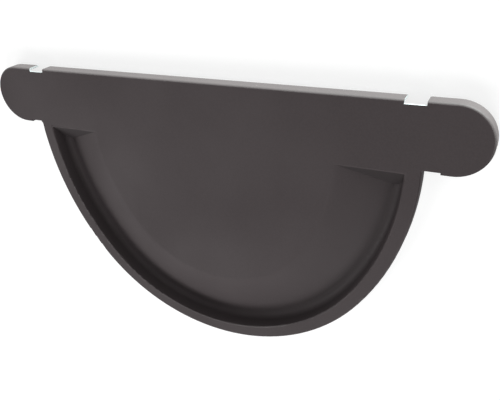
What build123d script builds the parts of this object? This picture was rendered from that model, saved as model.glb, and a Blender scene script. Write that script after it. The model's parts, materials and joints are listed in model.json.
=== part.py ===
from build123d import *
import os
from math import atan2, cos, degrees, radians, sin, tan

# Half-round gutter end cap, pressed from one blank of painted steel sheet.
# It lies on its back, face up: X along the bar, Y towards the bar's top edge, Z out of the face.
# The origin is under the middle of the outline, on the level that the groove's ridge rests on.

# Driving dimensions, in millimetres and degrees
sheet = 0.6                 # sheet thickness
bar_height = 18.8           # height of the bar, and the diameter of its round lobes
lobe_reach = 16.4           # from the rim's outside to the end of a lobe
rim_half_width = 63.6       # of the rim where it meets the bar
rim_flare = 4.7             # how much narrower than that the lower arc's radius is
rim_centre_drop = 11.6      # from the bar's lower edge down to the centre of the lower arc
rim_turn = 52.0             # from the lowest point round to where the flatter sides begin
flange_depth = 4.0          # of the flange, measured from the outside face
bend_radius = 0.6           # outside radius of the flange's bend, whose inside is sharp
rim_face = 4.3              # from the rim's outside to the groove's edge
groove_depth = 5.0
wall_lean = 10.0            # of the groove's steep wall, from upright
groove_flat = 0.2           # flat strip between the bends at the groove's bottom
slope_run = 15.1            # width of the gentle slope from the groove's floor to the dish
groove_edge_radius = 0.6    # outside radius of the bend at the groove's edge
groove_radius = 2.2         # inside radius at the foot of the steep wall
slope_foot_radius = 3.0     # inside radius where the slope begins
slope_head_radius = 8.0     # outside radius where the slope meets the dish
ramp_gap = 0.7              # flat strip between the bar's lower edge and the groove's end
ramp_lean = 49.0            # of the ramp at the groove's end, from upright
ramp_edge_radius = 1.2      # outside radius of the bend at the ramp's head
notch_width = 5.4           # of the notches in the bar's top edge
notch_bite = 1.1            # how far a notch cuts into the face
relief_width = 4.5          # of the cuts under the lobes
relief_bite = 0.75          # how far such a cut reaches into the face

# Places
right_angle = 90
face_z = groove_depth + sheet
rim_radius = rim_half_width - rim_flare
overall_length = 2 * (rim_half_width + lobe_reach)
overall_height = bar_height + rim_centre_drop + rim_radius
bar_top = overall_height / 2
bar_y = bar_top - bar_height / 2
bar_foot = bar_top - bar_height
rim_foot = bar_top - overall_height
notch_x = rim_half_width - notch_width / 2
relief_x = rim_half_width + relief_width / 2
clear = 2 * sheet           # how far a cutter reaches past what it cuts

# The rim is three arcs: a lower one, and a flatter one on each side that ends at the bar.
# A side arc shares the lower arc's tangent at the turn, and its radius makes it meet the bar.
low_centre = Vector(0, rim_foot + rim_radius)
corner = Vector(rim_half_width, bar_foot)
turn = Vector(sin(radians(rim_turn)), -cos(radians(rim_turn)))
reach = corner - low_centre
side_extra = (reach.length**2 - rim_radius**2) / (2 * (rim_radius - reach.dot(turn)))
side_radius = rim_radius + side_extra
side_centre = low_centre - turn * side_extra
side_end = right_angle + degrees(atan2(corner.Y - side_centre.Y, corner.X - side_centre.X))
side_over = degrees(atan2(bar_height / 2, side_radius))


def rim_point(angle, inset=0):
    """A point on the right half of the rim, at an angle from straight down, inset from its outside."""
    centre, radius = (low_centre, rim_radius) if angle <= rim_turn else (side_centre, side_radius)
    return centre + Vector(sin(radians(angle)), -cos(radians(angle))) * (radius - inset)


def mirrored(point):
    return Vector(-point.X, point.Y)


def rim_face_sketch(inset):
    """The rim's face inside its outline by an inset, running up to the middle of the bar."""
    low = rim_point(0, inset)
    turned = rim_point(rim_turn, inset)
    middle = rim_point((rim_turn + side_end) / 2, inset)
    top = rim_point(side_end + side_over, inset)
    with BuildSketch() as face:
        with BuildLine():
            ThreePointArc(top, middle, turned)
            ThreePointArc(turned, low, mirrored(turned))
            ThreePointArc(mirrored(turned), mirrored(middle), mirrored(top))
            Line(mirrored(top), top)
        make_face()
    return face.sketch


def tray(inset, top, bottom, bend=0):
    """The bar and the rim as one block, inset from the outline, its upper edge bent over or sharp."""
    with BuildPart() as bar:
        with BuildSketch(Plane.XY.offset(top)):
            with Locations((0, bar_y)):
                SlotOverall(overall_length - 2 * inset, bar_height - 2 * inset)
        extrude(amount=bottom - top)
        if bend:
            fillet(bar.faces().sort_by(Axis.Z)[-1].edges(), bend)
    with BuildPart() as rim:
        with BuildSketch(Plane.XY.offset(top)):
            add(rim_face_sketch(inset))
        extrude(amount=bottom - top)
        if bend:
            fillet(rim.faces().sort_by(Axis.Z)[-1].edges().filter_by(GeomType.CIRCLE), bend)
        add(bar.part)
    return rim.part


# Cross-section of the groove, as the line of the outside face: measured inwards from the rim's
# outside and upwards from the face. It runs down the steep wall and back up the gentle slope.
wall_foot = rim_face + groove_depth * tan(radians(wall_lean))
wall_foot_bend = groove_radius * tan(radians((right_angle - wall_lean) / 2))
slope_foot_bend = slope_foot_radius * tan(atan2(groove_depth, slope_run) / 2)
slope_start = wall_foot + wall_foot_bend + groove_flat + slope_foot_bend
slope_end = slope_start + slope_run
groove_start = rim_face - 2 * groove_edge_radius
groove_end = slope_end + slope_head_radius / 2
groove_points = [
    (groove_start, 0),
    (rim_face, 0),
    (wall_foot, -groove_depth),
    (slope_start, -groove_depth),
    (slope_end, 0),
    (groove_end, 0),
]
groove_radii = [groove_edge_radius, groove_radius, slope_foot_radius, slope_head_radius]
with BuildSketch() as groove_section:
    with BuildLine():
        groove_line = FilletPolyline(*groove_points, radius=groove_radii)
        Polyline(groove_line @ 1, (groove_end, clear), (groove_start, clear), groove_line @ 0)
    make_face()

# Cross-section of the ramp that ends the groove, in the same way: measured up the bar from the
# ramp's head. Below the ramp the section is open, and there the groove's own section holds.
ramp_head_y = bar_foot - ramp_gap
ramp_low = groove_depth + 2 * clear
ramp_start = 2 * ramp_edge_radius
ramp_open = rim_foot - ramp_head_y - clear
with BuildSketch() as ramp_section:
    with BuildLine():
        ramp_line = FilletPolyline(
            (ramp_start, 0), (0, 0), (-ramp_low * tan(radians(ramp_lean)), -ramp_low), radius=ramp_edge_radius
        )
        Polyline(ramp_line @ 1, (ramp_open, -ramp_low), (ramp_open, clear), (ramp_start, clear), ramp_line @ 0)
    make_face()


def square_to_rim(angle):
    """The plane square to the rim at an angle from straight down, its X inwards and its Y up."""
    across = Vector(sin(radians(angle)), -cos(radians(angle)))
    point = rim_point(angle) if angle > 0 else mirrored(rim_point(-angle))
    return Plane(origin=(point.X, point.Y, face_z), x_dir=-across, z_dir=(-across.Y, across.X, 0))


def pressed_space(growth):
    """The space in front of the pressed sheet, or with its thickness as growth, down to its back."""
    with BuildSketch() as groove_cut:
        add(groove_section.sketch)
        offset(amount=growth, kind=Kind.INTERSECTION)
    with BuildSketch() as ramp_cut:
        add(ramp_section.sketch)
        offset(amount=growth, kind=Kind.INTERSECTION)
    with BuildPart() as ring:
        with BuildSketch(square_to_rim(-rim_turn)):
            add(groove_cut.sketch)
        revolve(axis=Axis((low_centre.X, low_centre.Y, 0), (0, 0, 1)), revolution_arc=2 * rim_turn)
        with BuildSketch(square_to_rim(rim_turn)):
            add(groove_cut.sketch)
        side_axis = Axis((side_centre.X, side_centre.Y, 0), (0, 0, 1))
        revolve(axis=side_axis, revolution_arc=side_end + side_over - rim_turn)
        mirror(about=Plane.YZ)
    with BuildPart() as space:
        with BuildSketch(Plane(origin=(0, ramp_head_y, face_z), x_dir=(0, 1, 0), z_dir=(1, 0, 0))):
            add(ramp_cut.sketch)
        extrude(amount=rim_half_width, both=True)
        add(ring.part, mode=Mode.INTERSECT)
    return space.part


# The end cap: a flat tray with its flange, the groove pressed into its face, and the corner cuts
front_space = pressed_space(0)
back_space = pressed_space(sheet)
flange_foot = face_z - flange_depth
tray_outside = tray(0, face_z, flange_foot, bend_radius)
tray_inside = tray(sheet, face_z - sheet, flange_foot)
with BuildPart() as end_cap:
    add(tray_outside)
    add(tray_inside, mode=Mode.SUBTRACT)
    add(back_space.split(Plane.XY.offset(face_z), keep=Keep.BOTTOM))
    add(front_space, mode=Mode.SUBTRACT)
    with BuildSketch(Plane.XY.offset(face_z)):
        with Locations((notch_x, bar_top), (-notch_x, bar_top)):
            Rectangle(notch_width, 2 * notch_bite)
        with Locations((relief_x, bar_foot), (-relief_x, bar_foot)):
            Rectangle(relief_width, 2 * relief_bite)
    extrude(amount=-flange_depth, mode=Mode.SUBTRACT)

end_cap.part.label = "end_cap"
os.makedirs("parts", exist_ok=True)
export_step(end_cap.part, "parts/end_cap.step")
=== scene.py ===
import json
import math

import bmesh
import bpy
from bpy.props import FloatProperty, FloatVectorProperty, IntProperty, PointerProperty
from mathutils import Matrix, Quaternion, Vector

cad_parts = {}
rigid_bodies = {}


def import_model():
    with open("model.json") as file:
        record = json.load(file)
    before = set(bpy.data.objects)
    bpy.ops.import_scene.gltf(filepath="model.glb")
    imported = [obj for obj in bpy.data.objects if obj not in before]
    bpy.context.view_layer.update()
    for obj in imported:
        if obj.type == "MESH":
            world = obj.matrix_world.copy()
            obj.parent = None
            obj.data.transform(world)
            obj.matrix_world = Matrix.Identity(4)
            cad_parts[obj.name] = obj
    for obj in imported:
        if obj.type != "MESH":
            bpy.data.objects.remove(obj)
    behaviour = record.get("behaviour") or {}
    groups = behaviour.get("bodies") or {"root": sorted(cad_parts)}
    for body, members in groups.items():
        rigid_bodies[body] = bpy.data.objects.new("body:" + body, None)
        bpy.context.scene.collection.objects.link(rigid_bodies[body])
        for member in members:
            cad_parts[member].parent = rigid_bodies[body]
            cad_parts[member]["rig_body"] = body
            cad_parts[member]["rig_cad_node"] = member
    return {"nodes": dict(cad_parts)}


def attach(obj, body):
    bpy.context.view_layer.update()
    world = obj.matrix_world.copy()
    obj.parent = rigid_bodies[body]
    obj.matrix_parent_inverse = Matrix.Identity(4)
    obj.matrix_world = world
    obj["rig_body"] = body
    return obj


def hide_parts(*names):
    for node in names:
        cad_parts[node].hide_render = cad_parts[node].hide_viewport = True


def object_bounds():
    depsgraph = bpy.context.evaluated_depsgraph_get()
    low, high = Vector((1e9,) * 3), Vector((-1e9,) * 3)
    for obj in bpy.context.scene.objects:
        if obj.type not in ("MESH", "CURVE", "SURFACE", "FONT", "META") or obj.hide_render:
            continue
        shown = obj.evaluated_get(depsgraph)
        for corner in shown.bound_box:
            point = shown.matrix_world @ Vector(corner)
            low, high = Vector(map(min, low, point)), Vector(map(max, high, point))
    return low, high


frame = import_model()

# Half-round gutter end cap: the finish of its painted steel sheet, and the stage it is shown on.
# It lies on its back, face up, with the bar's top edge towards Y, as its own drawing has it.

bl_info = {
    "name": "Gutter end cap",
    "version": (1, 0, 0),
    "blender": (4, 5, 0),
    "location": "View3D > Sidebar > End Cap",
    "description": "Dresses a pressed half-round gutter end cap in painted steel and sets its stage",
    "category": "Object",
}

NODE = "end_cap"
BODY = "root"
CAD_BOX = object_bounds()
MM = 0.001

# The pressed groove, as the drawing has it: its steep wall and its ramps lean from upright
WALL_LEAN = math.radians(10)
RAMP_LEAN = math.radians(49)
RAMP_NORMAL = Vector((0, -math.cos(RAMP_LEAN), math.sin(RAMP_LEAN)))
SLOPE_FALL = 5 * MM
SLOPE_RUN = 15.1 * MM
SLOPE_TILT = math.atan2(SLOPE_FALL, SLOPE_RUN)

# How far the normals rise in the zones without a bend: face, flange, wall, slope and ramp
ZONE_RISES = (1, 0, math.sin(WALL_LEAN), math.cos(SLOPE_TILT), RAMP_NORMAL.z)
ZONE_TOLERANCE = 0.004

# Points nearer than this are one, and faces that turn by less than this are one flat face
MERGE_REACH = 0.001 * MM
FLAT_ANGLE = math.radians(0.05)

# Outer edges that turn by more than this are sheared, and outer faces that rise less are the flange
SHEARED_ANGLE = math.radians(86)
FLANGE_RISE = math.sin(math.radians(7))

# How far a ramp's normal may be from RAMP_NORMAL, and how far that of the bends around a ramp,
# which leans along the bar by less than the last value
RAMP_TOLERANCE = 0.01
RAMP_BEND_REACH = 0.7
RAMP_BEND_SIDEWAYS = 0.1

# Slots of the finishes on the pressed sheet
TOP_COAT = 0
BACK_COAT = 1
BARE_EDGE = 2

# The grain of all finishes: the noise's range in flecks and in smudges, how much a smudge shows,
# how light it is, and how much rougher or smoother than its finish the surface gets
FLECK_RANGE = (0.3, 0.7)
SMUDGE_RANGE = (0.35, 0.65)
SMUDGE_SHARE = 0.12
SMUDGE_TONE = 1.5
ROUGHER = 0.04
SMOOTHER = 0.06

# The paint's gloss, the depth at which the painted shade at the groove's foot starts, and that painted
# shade's darkest tone
PAINT_GLOSS = 0.15
PAINTED_SHADE_START = 0.6
PAINTED_SHADE_TONE = 0.1

# Places on the stage, in metres: the lamps, the camera and the point that it looks at
LEFT_PLACE = (-0.63, -0.51, 0.57)
RIGHT_PLACE = (0.21, -0.76, 0.62)
FILL_PLACE = (0.43, 0.75, 0.5)
LOW_PLACE = (0.41, 0.91, 0.0075)
CAMERA_PLACE = (0.08716, 0.0902, 0.14196)
CAMERA_TARGET = (0.01449, 0.00976, 0.0056)

# The camera's turn about its own axis in degrees, and its lens and sensor in millimetres
CAMERA_ROLL = -134.9
CAMERA_LENS = 42.07
CAMERA_SENSOR = 36

# The round lamps' width and the low strip's length and height, in metres, and the strip's colour
LAMP_WIDTH = 0.6
STRIP_LENGTH = 0.7
STRIP_HEIGHT = 0.01
STRIP_COLOUR = (0.87, 1.0, 0.96)

# The floor's grey, how rough it is, and its own light, which makes it white where it is seen
FLOOR_GREY = 0.35
FLOOR_ROUGHNESS = 0.9
FLOOR_LIGHT = 0.75


class SheetSettings(bpy.types.PropertyGroup):
    """How the pressed sheet's edges and bends are finished."""

    edge_round: FloatProperty(
        name="Edge Round",
        description="Width of the small round on a sheared edge",
        default=0.1 * MM,
        min=0.01 * MM,
        max=0.25 * MM,
        subtype="DISTANCE",
        unit="LENGTH",
        precision=5,
    )
    edge_steps: IntProperty(
        name="Edge Steps",
        description="Faces across the round of a sheared edge",
        default=3,
        min=1,
        max=5,
    )
    sharp_angle: FloatProperty(
        name="Sharp Angle",
        description="Outer edges that turn by more than this stay crisp",
        default=math.radians(42),
        min=math.radians(10),
        max=math.radians(80),
        subtype="ANGLE",
        unit="ROTATION",
    )
    crease_angle: FloatProperty(
        name="Crease Angle",
        description="Inner edges that turn by more than this stay crisp",
        default=math.radians(25),
        min=math.radians(10),
        max=math.radians(80),
        subtype="ANGLE",
        unit="ROTATION",
    )


class PaintSettings(bpy.types.PropertyGroup):
    """The paint on the sheet, with the painted shade in its groove, and the bare steel at its sheared
    edges.
    """

    colour: FloatVectorProperty(
        name="Top Coat Colour",
        description="Grey-brown of the paint on the outside",
        default=(0.050, 0.041, 0.0425),
        min=0,
        max=1,
        subtype="COLOR",
    )
    back_colour: FloatVectorProperty(
        name="Back Coat Colour",
        description="Thinner and greyer paint on the inside",
        default=(0.105, 0.098, 0.096),
        min=0,
        max=1,
        subtype="COLOR",
    )
    edge_colour: FloatVectorProperty(
        name="Sheared Edge Colour",
        description="Zinc and steel that the shears laid bare",
        default=(0.33, 0.335, 0.345),
        min=0,
        max=1,
        subtype="COLOR",
    )
    roughness: FloatProperty(
        name="Roughness",
        description="Roughness of the matt top coat",
        default=0.65,
        min=0,
        max=1,
        subtype="FACTOR",
    )
    # Painted shade: the top coat's colour is darkened towards the groove's foot, standing in for the
    # shade there
    recess_painted_shade: FloatProperty(
        name="Recess Shade",
        description="How far the paint darkens at the foot of the groove",
        default=0.4,
        min=0,
        max=1,
        subtype="FACTOR",
    )
    # Painted shade: the top coat's colour is darkened on the groove's ramps and steep walls, standing in
    # for the shade there
    steep_painted_shade: FloatProperty(
        name="Steep Shade",
        description="How far the paint darkens on the groove's ramps, and less where it is less steep",
        default=0.6,
        min=0,
        max=1,
        subtype="FACTOR",
    )
    peel_size: FloatProperty(
        name="Peel Size",
        description="Width of the fine waves in the paint's skin",
        default=0.9 * MM,
        min=0.1 * MM,
        max=5 * MM,
        subtype="DISTANCE",
        unit="LENGTH",
        precision=5,
    )
    peel_height: FloatProperty(
        name="Peel Height",
        description="Height of the fine waves in the paint's skin",
        default=0.012 * MM,
        min=0,
        max=0.1 * MM,
        subtype="DISTANCE",
        unit="LENGTH",
        precision=6,
    )


class StageSettings(bpy.types.PropertyGroup):
    """The floor, the lamps and the white surroundings."""

    floor_size: FloatProperty(
        name="Floor Size",
        description="Length of the floor's side",
        default=6.0,
        min=1.0,
        max=20.0,
        subtype="DISTANCE",
        unit="LENGTH",
    )
    left_power: FloatProperty(
        name="Left Lamp",
        description="Power of the soft lamp beyond the rim's left side",
        default=4.5,
        min=0,
        max=100,
        unit="POWER",
    )
    right_power: FloatProperty(
        name="Right Lamp",
        description="Power of the soft lamp beyond the rim's right side",
        default=4.7,
        min=0,
        max=100,
        unit="POWER",
    )
    fill_power: FloatProperty(
        name="Fill Lamp",
        description="Power of the weak soft lamp on the camera's side",
        default=1.75,
        min=0,
        max=100,
        unit="POWER",
    )
    low_power: FloatProperty(
        name="Low Lamp",
        description="Power of the low strip lamp that lights the flange along the bar",
        default=70.0,
        min=0,
        max=200,
        unit="POWER",
    )
    surroundings: FloatProperty(
        name="Surroundings",
        description="Strength of the white surroundings on the cap",
        default=0.29,
        min=0,
        max=1,
        subtype="FACTOR",
    )


def deselect_all():
    """Select nothing, so that the next operator acts on its own object alone."""
    if bpy.context.object and bpy.context.object.mode != "OBJECT":
        bpy.ops.object.mode_set(mode="OBJECT")
    bpy.ops.object.select_all(action="DESELECT")


def make_active(obj):
    """Select one object alone and make it the active one."""
    deselect_all()
    obj.select_set(True)
    bpy.context.view_layer.objects.active = obj


def edit_mesh(piece, kind, action):
    """Go into edit mode on a piece's points, edges or faces, with all or none of them selected."""
    make_active(piece)
    bpy.ops.object.mode_set(mode="EDIT")
    bpy.ops.mesh.select_mode(type=kind)
    bpy.ops.mesh.select_all(action=action)


def copy_of_node(node_name, piece_name):
    """A copy of a node's mesh as a new object, with its loose triangles merged into one skin."""
    make_active(frame["nodes"][node_name])
    bpy.ops.object.duplicate()
    piece = bpy.context.object
    bpy.ops.object.parent_clear(type="CLEAR_KEEP_TRANSFORM")
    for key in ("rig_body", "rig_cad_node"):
        del piece[key]
    piece.name = piece_name
    piece.data.name = piece_name
    piece.data.materials.clear()
    edit_mesh(piece, "VERT", "SELECT")
    bpy.ops.mesh.remove_doubles(threshold=MERGE_REACH)
    bpy.ops.object.mode_set(mode="OBJECT")
    return piece


def merge_flat_faces(piece):
    """Join the triangles of each flat face into one face."""
    edit_mesh(piece, "VERT", "SELECT")
    bpy.ops.mesh.dissolve_limited(angle_limit=FLAT_ANGLE, delimit=set())
    bpy.ops.object.mode_set(mode="OBJECT")


def is_sheared(edge):
    """Whether an edge is a square outer corner, as the shears leave on the sheet."""
    return edge.is_manifold and edge.calc_face_angle_signed(0) > SHEARED_ANGLE


def one_skin(start):
    """The faces that are reached from a face without crossing a sheared edge."""
    found = {start}
    waiting = [start]
    while waiting:
        face = waiting.pop()
        inner_edges = [edge for edge in face.edges if not is_sheared(edge)]
        for near in (other for edge in inner_edges for other in edge.link_faces):
            if near not in found:
                found.add(near)
                waiting.append(near)
    return found


def give_finishes(piece, finishes):
    """The outer skin gets the top coat, the inner skin the back coat, and the rest stays bare."""
    for finish in finishes:
        piece.data.materials.append(finish)
    mesh = bmesh.new()
    mesh.from_mesh(piece.data)
    outer = one_skin(max(mesh.faces, key=lambda face: face.calc_area() * face.normal.z))
    inner = one_skin(min(mesh.faces, key=lambda face: face.calc_area() * face.normal.z))
    if outer & inner:
        raise RuntimeError("the sheet's two skins run into each other")
    for face in mesh.faces:
        if face in outer:
            face.material_index = TOP_COAT
        elif face in inner:
            face.material_index = BACK_COAT
        else:
            face.material_index = BARE_EDGE
    mesh.to_mesh(piece.data)
    mesh.free()


def round_sheared_edges(piece, settings):
    """Ease the sheet's sheared edges by a hair."""
    edit_mesh(piece, "EDGE", "DESELECT")
    mesh = bmesh.from_edit_mesh(piece.data)
    for edge in mesh.edges:
        bare = any(face.material_index == BARE_EDGE for face in edge.link_faces)
        edge.select = bare and is_sheared(edge)
    mesh.select_flush_mode()
    bmesh.update_edit_mesh(piece.data)
    bpy.ops.mesh.bevel(
        offset=settings.edge_round,
        segments=settings.edge_steps,
        affect="EDGES",
        clamp_overlap=True,
    )
    bpy.ops.object.mode_set(mode="OBJECT")


def is_flat_zone(face):
    """Whether a face lies in a flat zone, a wall or a slope of the sheet, and not in one of its bends."""
    return any(abs(abs(face.normal.z) - rise) < ZONE_TOLERANCE for rise in ZONE_RISES)


def weigh_zones(piece, flat, strength):
    """Set how much the faces of the flat zones, or else of the bends, say in the smoothed normals."""
    edit_mesh(piece, "FACE", "DESELECT")
    mesh = bmesh.from_edit_mesh(piece.data)
    mesh.normal_update()
    for face in mesh.faces:
        face.select_set(is_flat_zone(face) == flat)
    bmesh.update_edit_mesh(piece.data)
    bpy.ops.mesh.mod_weighted_strength(set=True, face_strength=strength)
    bpy.ops.object.mode_set(mode="OBJECT")


def smooth_bends(piece, settings):
    """Smooth the bends alone: flat zones keep their own shading, and the groove's creases stay crisp."""
    make_active(piece)
    bpy.ops.object.shade_smooth_by_angle(angle=settings.sharp_angle)
    mesh = bmesh.new()
    mesh.from_mesh(piece.data)
    for edge in mesh.edges:
        if edge.is_manifold and edge.calc_face_angle_signed(0) < -settings.crease_angle:
            edge.smooth = False
    mesh.to_mesh(piece.data)
    mesh.free()
    weigh_zones(piece, True, "STRONG")
    weigh_zones(piece, False, "WEAK")
    bpy.ops.object.modifier_add(type="WEIGHTED_NORMAL")
    modifier = piece.modifiers[-1]
    modifier.keep_sharp = True
    modifier.use_face_influence = True
    bpy.ops.object.modifier_apply(modifier=modifier.name)


def points_of(faces):
    """The numbers of the points at the corners of some faces."""
    return {point for face in faces for point in face.vertices}


def off_ramp(face):
    """How far a face's normal is from the normal of the groove's ramps."""
    return (face.normal - RAMP_NORMAL).length


def mark_painted_shade(piece):
    """Note how deep the top coat lies in the groove, and how steep it stands there, both 0 to 1, as masks
    for the painted shade in the groove.
    """
    # A ramp is wholly steep, and elsewhere it is the tilt times the depth; the top coat paints shade by
    # these masks
    mesh = piece.data
    low, high = CAD_BOX
    outer = [face for face in mesh.polygons if face.material_index == TOP_COAT]
    flange_points = points_of(face for face in outer if face.normal.z < FLANGE_RISE)
    ramp_points = points_of(face for face in outer if off_ramp(face) < RAMP_TOLERANCE)
    depths = {}
    for point in points_of(outer) - flange_points:
        depths[point] = (high.z - mesh.vertices[point].co.z) / (high.z - low.z)
    recess = mesh.attributes.new("recess", "FLOAT", "POINT")
    for point, depth in depths.items():
        recess.data[point].value = depth
    steep = mesh.attributes.new("steep", "FLOAT", "CORNER")
    for face in outer:
        turns_to_ramp = abs(face.normal.x) < RAMP_BEND_SIDEWAYS and off_ramp(face) < RAMP_BEND_REACH
        for corner in face.loop_indices:
            point = mesh.loops[corner].vertex_index
            tilt = mesh.corner_normals[corner].vector.xy.length
            on_ramp = turns_to_ramp and point in ramp_points
            steep.data[corner].value = 1 if on_ramp else tilt * depths.get(point, 0)


def new_effect(name, inputs, outputs):
    """A node group for an effect, with named inputs and outputs that are single numbers."""
    group = bpy.data.node_groups.new(name, "ShaderNodeTree")
    for label, value in inputs.items():
        socket = group.interface.new_socket(label, in_out="INPUT", socket_type="NodeSocketFloat")
        socket.default_value = value
    for label in outputs:
        group.interface.new_socket(label, in_out="OUTPUT", socket_type="NodeSocketFloat")
    return group


def noise(nodes, links, vector, scale, detail):
    """A noise texture that reads a vector and a scale from sockets."""
    texture = nodes.new("ShaderNodeTexNoise")
    texture.inputs["Detail"].default_value = detail
    links.new(vector, texture.inputs["Vector"])
    links.new(scale, texture.inputs["Scale"])
    return texture.outputs["Fac"]


def spread(nodes, links, value, low, high, to_low=0, to_high=1):
    """Map a value's range onto another one."""
    step = nodes.new("ShaderNodeMapRange")
    links.new(value, step.inputs["Value"])
    step.inputs["From Min"].default_value = low
    step.inputs["From Max"].default_value = high
    step.inputs["To Min"].default_value = to_low
    step.inputs["To Max"].default_value = to_high
    return step.outputs["Result"]


def larger(nodes, links, first, second):
    """The larger of two values from sockets."""
    choice = nodes.new("ShaderNodeMath")
    choice.operation = "MAXIMUM"
    links.new(first, choice.inputs[0])
    links.new(second, choice.inputs[1])
    return choice.outputs[0]


def surface_grain():
    """The effect that paint and bare steel share: a fine skin, small flecks and broad smudges."""
    name = "surface grain"
    if name in bpy.data.node_groups:
        return bpy.data.node_groups[name]
    scales = {"Skin Scale": 1000, "Fleck Scale": 2000, "Smudge Scale": 30}
    group = new_effect(name, scales, ("Height", "Fleck", "Smudge"))
    nodes, links = group.nodes, group.links
    given = nodes.new("NodeGroupInput").outputs
    result = nodes.new("NodeGroupOutput").inputs
    place = nodes.new("ShaderNodeTexCoord").outputs["Object"]
    height = noise(nodes, links, place, given["Skin Scale"], detail=2)
    links.new(height, result["Height"])
    fleck = noise(nodes, links, place, given["Fleck Scale"], detail=1)
    links.new(spread(nodes, links, fleck, *FLECK_RANGE), result["Fleck"])
    smudge = noise(nodes, links, place, given["Smudge Scale"], detail=4)
    links.new(spread(nodes, links, smudge, *SMUDGE_RANGE), result["Smudge"])
    return group


def blend_colours(nodes, links, amount, first, second):
    """A colour between two, by an amount from a socket. A colour may be a socket too."""
    mix = nodes.new("ShaderNodeMix")
    mix.data_type = "RGBA"
    links.new(amount, mix.inputs["Factor"])
    for label, colour in (("A", first), ("B", second)):
        socket = next(s for s in mix.inputs if s.name == label and s.type == "RGBA")
        if isinstance(colour, bpy.types.NodeSocket):
            links.new(colour, socket)
        else:
            socket.default_value = (*colour, 1)
    return next(s for s in mix.outputs if s.type == "RGBA")


def toned(colour, tone):
    """A colour made darker or lighter by a factor."""
    return tuple(channel * tone for channel in colour)


def grainy_finish(name, colour, contrast, roughness, skin_scale, skin_height):
    """A finish with grain in its colour, roughness and skin, as (material, colour socket)."""
    material = bpy.data.materials.new(name)
    material.use_nodes = True
    nodes, links = material.node_tree.nodes, material.node_tree.links
    shader = nodes["Principled BSDF"]
    grain = nodes.new("ShaderNodeGroup")
    grain.node_tree = surface_grain()
    grain.inputs["Skin Scale"].default_value = skin_scale
    grain.inputs["Fleck Scale"].default_value = 2 * skin_scale
    flecked = blend_colours(
        nodes, links, grain.outputs["Fleck"], toned(colour, 1 - contrast), toned(colour, 1 + contrast)
    )
    smudge = spread(nodes, links, grain.outputs["Smudge"], 0, 1, 0, SMUDGE_SHARE)
    smudged = blend_colours(nodes, links, smudge, flecked, toned(colour, SMUDGE_TONE))
    links.new(smudged, shader.inputs["Base Color"])
    worn = spread(nodes, links, grain.outputs["Smudge"], 0, 1, roughness + ROUGHER, roughness - SMOOTHER)
    links.new(worn, shader.inputs["Roughness"])
    bump = nodes.new("ShaderNodeBump")
    bump.inputs["Distance"].default_value = skin_height
    links.new(grain.outputs["Height"], bump.inputs["Height"])
    links.new(bump.outputs["Normal"], shader.inputs["Normal"])
    return material, smudged


def top_coat(settings):
    """Matt grey-brown paint, with painted shade that darkens it where the groove is deep or steep."""
    material, painted = grainy_finish(
        "matt top coat",
        settings.colour,
        contrast=0.05,
        roughness=settings.roughness,
        skin_scale=1 / settings.peel_size,
        skin_height=settings.peel_height,
    )
    nodes, links = material.node_tree.nodes, material.node_tree.links
    shader = nodes["Principled BSDF"]
    shader.inputs["Specular IOR Level"].default_value = PAINT_GLOSS
    # Painted shade: the colour darkens by the recess and steep masks, in place of the shade that falls in
    # the groove
    painted_shades = []
    marks = (("recess", PAINTED_SHADE_START, settings.recess_painted_shade), ("steep", 0, settings.steep_painted_shade))
    for name, start, most in marks:
        mark = nodes.new("ShaderNodeAttribute")
        mark.attribute_name = name
        painted_shades.append(spread(nodes, links, mark.outputs["Fac"], start, 1, 0, most))
    darkest_painted_shade = larger(nodes, links, *painted_shades)
    with_painted_shade = blend_colours(nodes, links, darkest_painted_shade, painted, toned(settings.colour, PAINTED_SHADE_TONE))
    links.new(with_painted_shade, shader.inputs["Base Color"])
    return material


def back_coat(settings):
    """The thinner, duller paint on the inside."""
    material, _ = grainy_finish(
        "thin back coat",
        settings.back_colour,
        contrast=0.08,
        roughness=0.8,
        skin_scale=0.6 / settings.peel_size,
        skin_height=1.5 * settings.peel_height,
    )
    shader = material.node_tree.nodes["Principled BSDF"]
    shader.inputs["Specular IOR Level"].default_value = PAINT_GLOSS
    return material


def bare_edge(settings):
    """The dull steel of a sheared edge, with the fine marks that the shears leave."""
    material, _ = grainy_finish(
        "sheared steel edge",
        settings.edge_colour,
        contrast=0.2,
        roughness=0.55,
        skin_scale=4 / settings.peel_size,
        skin_height=0.5 * settings.peel_height,
    )
    shader = material.node_tree.nodes["Principled BSDF"]
    shader.inputs["Metallic"].default_value = 0.6
    return material


def seen_as_background(nodes, links):
    """1 for a ray that shows the background, straight, in a reflection or through glass, and else 0."""
    path = nodes.new("ShaderNodeLightPath").outputs
    seen = larger(nodes, links, path["Is Camera Ray"], path["Is Glossy Ray"])
    return larger(nodes, links, seen, path["Is Transmission Ray"])


def floor_material():
    """A white floor that shows the cap's shadow."""
    material = bpy.data.materials.new("white floor")
    material.use_nodes = True
    nodes, links = material.node_tree.nodes, material.node_tree.links
    shader = nodes["Principled BSDF"]
    shader.inputs["Base Color"].default_value = (FLOOR_GREY, FLOOR_GREY, FLOOR_GREY, 1)
    shader.inputs["Roughness"].default_value = FLOOR_ROUGHNESS
    shader.inputs["Specular IOR Level"].default_value = 0
    strength = spread(nodes, links, seen_as_background(nodes, links), 0, 1, 0, FLOOR_LIGHT)
    shader.inputs["Emission Color"].default_value = (1, 1, 1, 1)
    links.new(strength, shader.inputs["Emission Strength"])
    return material


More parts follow.
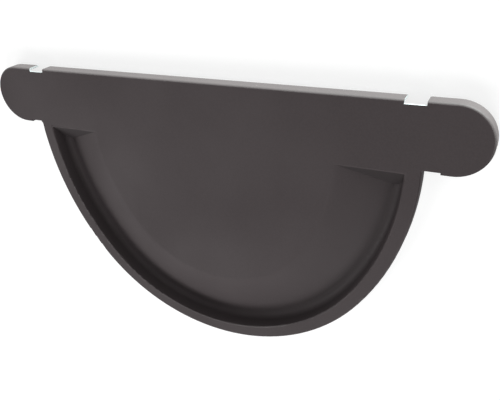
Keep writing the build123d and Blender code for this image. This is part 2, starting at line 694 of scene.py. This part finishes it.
class END_CAP_OT_dress_sheet(bpy.types.Operator):
    """Finish the pressed sheet: merged skin, eased sheared edges, paint with painted shade in the groove,
    and bare steel.
    """

    bl_idname = "end_cap.dress_sheet"
    bl_label = "Dress the Pressed Sheet"

    def execute(self, context):
        settings = context.scene.end_cap_sheet
        paint = context.scene.end_cap_paint
        piece = copy_of_node(NODE, "pressed_sheet")
        merge_flat_faces(piece)
        give_finishes(piece, (top_coat(paint), back_coat(paint), bare_edge(paint)))
        round_sheared_edges(piece, settings)
        smooth_bends(piece, settings)
        # Masks for the painted shade in the groove
        mark_painted_shade(piece)
        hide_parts(NODE)
        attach(piece, BODY)
        return {"FINISHED"}


def add_floor(size, height):
    """A white floor at a height, as part of the stage."""
    deselect_all()
    bpy.ops.mesh.primitive_plane_add(size=size, location=(0, 0, height))
    floor = bpy.context.object
    floor.name = "floor"
    bpy.ops.object.transform_apply(location=True, rotation=True, scale=True)
    floor.data.materials.append(floor_material())


def add_lamp(name, place, target, power):
    """A soft area lamp that faces a point. Its light data comes back, for its shape."""
    deselect_all()
    bpy.ops.object.light_add(type="AREA", location=place)
    lamp = bpy.context.object
    lamp.name = name
    lamp.data.name = name
    lamp.data.energy = power
    lamp.rotation_mode = "QUATERNION"
    lamp.rotation_quaternion = (Vector(place) - Vector(target)).to_track_quat("Z", "Y")
    return lamp.data


def add_lamps(settings, target):
    """Three round soft lamps and a low strip, all facing a point."""
    discs = (
        ("left lamp", LEFT_PLACE, settings.left_power),
        ("right lamp", RIGHT_PLACE, settings.right_power),
        ("fill lamp", FILL_PLACE, settings.fill_power),
    )
    for name, place, power in discs:
        lamp = add_lamp(name, place, target, power)
        lamp.shape = "DISK"
        lamp.size = LAMP_WIDTH
    strip = add_lamp("low strip lamp", LOW_PLACE, target, settings.low_power)
    strip.shape = "RECTANGLE"
    strip.size = STRIP_LENGTH
    strip.size_y = STRIP_HEIGHT
    strip.color = STRIP_COLOUR


def set_surroundings(scene, strength):
    """Surroundings that are plain white where they are seen, and light the cap with a strength."""
    world = bpy.data.worlds.new("plain white surroundings")
    scene.world = world
    world.use_nodes = True
    nodes, links = world.node_tree.nodes, world.node_tree.links
    background = nodes["Background"]
    background.inputs["Color"].default_value = (1, 1, 1, 1)
    level = spread(nodes, links, seen_as_background(nodes, links), 0, 1, strength, 1)
    links.new(level, background.inputs["Strength"])


def add_camera(place, target, roll, lens):
    """A camera at a place, looking at a target, turned about its own axis by a roll."""
    deselect_all()
    bpy.ops.object.camera_add(location=place)
    camera = bpy.context.object
    camera.name = "camera"
    level = (Vector(place) - Vector(target)).to_track_quat("Z", "Y")
    camera.rotation_mode = "QUATERNION"
    camera.rotation_quaternion = level @ Quaternion((0, 0, 1), roll)
    camera.data.lens = lens
    camera.data.sensor_width = CAMERA_SENSOR
    camera.data.clip_start = 0.01
    camera.data.clip_end = 50
    bpy.context.scene.camera = camera


class END_CAP_OT_set_stage(bpy.types.Operator):
    """Set the white floor, the soft lamps and the camera that looks down on the cap."""

    bl_idname = "end_cap.set_stage"
    bl_label = "Set the Stage"

    def execute(self, context):
        settings = context.scene.end_cap_stage
        low, high = CAD_BOX
        add_floor(settings.floor_size, low.z)
        add_lamps(settings, (low + high) / 2)
        set_surroundings(context.scene, settings.surroundings)
        add_camera(CAMERA_PLACE, CAMERA_TARGET, math.radians(CAMERA_ROLL), CAMERA_LENS)
        context.scene.view_settings.view_transform = "Standard"
        return {"FINISHED"}


class END_CAP_PT_panel(bpy.types.Panel):
    """The steps that dress the end cap, and their settings."""

    bl_idname = "END_CAP_PT_panel"
    bl_label = "Gutter End Cap"
    bl_space_type = "VIEW_3D"
    bl_region_type = "UI"
    bl_category = "End Cap"

    def draw(self, context):
        layout = self.layout
        for step in STEPS:
            layout.operator(step.bl_idname)
        scene = context.scene
        for settings in (scene.end_cap_sheet, scene.end_cap_paint, scene.end_cap_stage):
            for name in settings.__annotations__:
                layout.prop(settings, name)


STEPS = (END_CAP_OT_dress_sheet, END_CAP_OT_set_stage)
CLASSES = (SheetSettings, PaintSettings, StageSettings, *STEPS, END_CAP_PT_panel)


def register():
    """Register the classes, and give the scene their settings."""
    for cls in CLASSES:
        bpy.utils.register_class(cls)
    bpy.types.Scene.end_cap_sheet = PointerProperty(type=SheetSettings)
    bpy.types.Scene.end_cap_paint = PointerProperty(type=PaintSettings)
    bpy.types.Scene.end_cap_stage = PointerProperty(type=StageSettings)


def unregister():
    """Take the settings off the scene, and the classes out."""
    for name in ("end_cap_sheet", "end_cap_paint", "end_cap_stage"):
        delattr(bpy.types.Scene, name)
    for cls in reversed(CLASSES):
        bpy.utils.unregister_class(cls)


def main():
    """Dress the cap and set its stage."""
    register()
    bpy.ops.end_cap.dress_sheet()
    bpy.ops.end_cap.set_stage()


if __name__ == "__main__":
    main()
